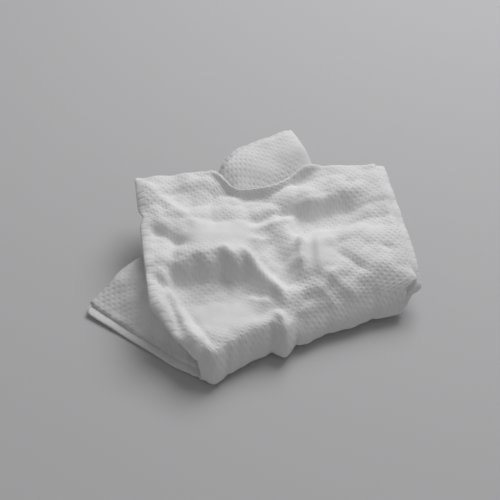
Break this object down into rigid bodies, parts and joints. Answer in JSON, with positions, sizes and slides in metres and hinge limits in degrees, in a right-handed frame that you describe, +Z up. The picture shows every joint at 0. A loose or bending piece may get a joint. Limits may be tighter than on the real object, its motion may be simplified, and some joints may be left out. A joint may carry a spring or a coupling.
{
  "type": "crumpled tissue",
  "caption": "Used paper tissue: one pin-embossed sheet folded into a packet, folded over skew and left crumpled, with a flap and a raised corner",
  "frame": {"origin": "centre of the bounding box at its base, on the surface the tissue lies on", "axes": "+X along the longest side, from the loose flap to the open corner; +Y from the front fold to the raised corner; +Z up"},
  "size_m": [0.0946, 0.0754, 0.0255],
  "materials": {
    "tissue_paper": "soft matt white tissue with a lattice of pressed pin dots, no gloss"
  },
  "bodies": {
    "root": {"tissue": "tissue_paper"}
  },
  "joints": []
}
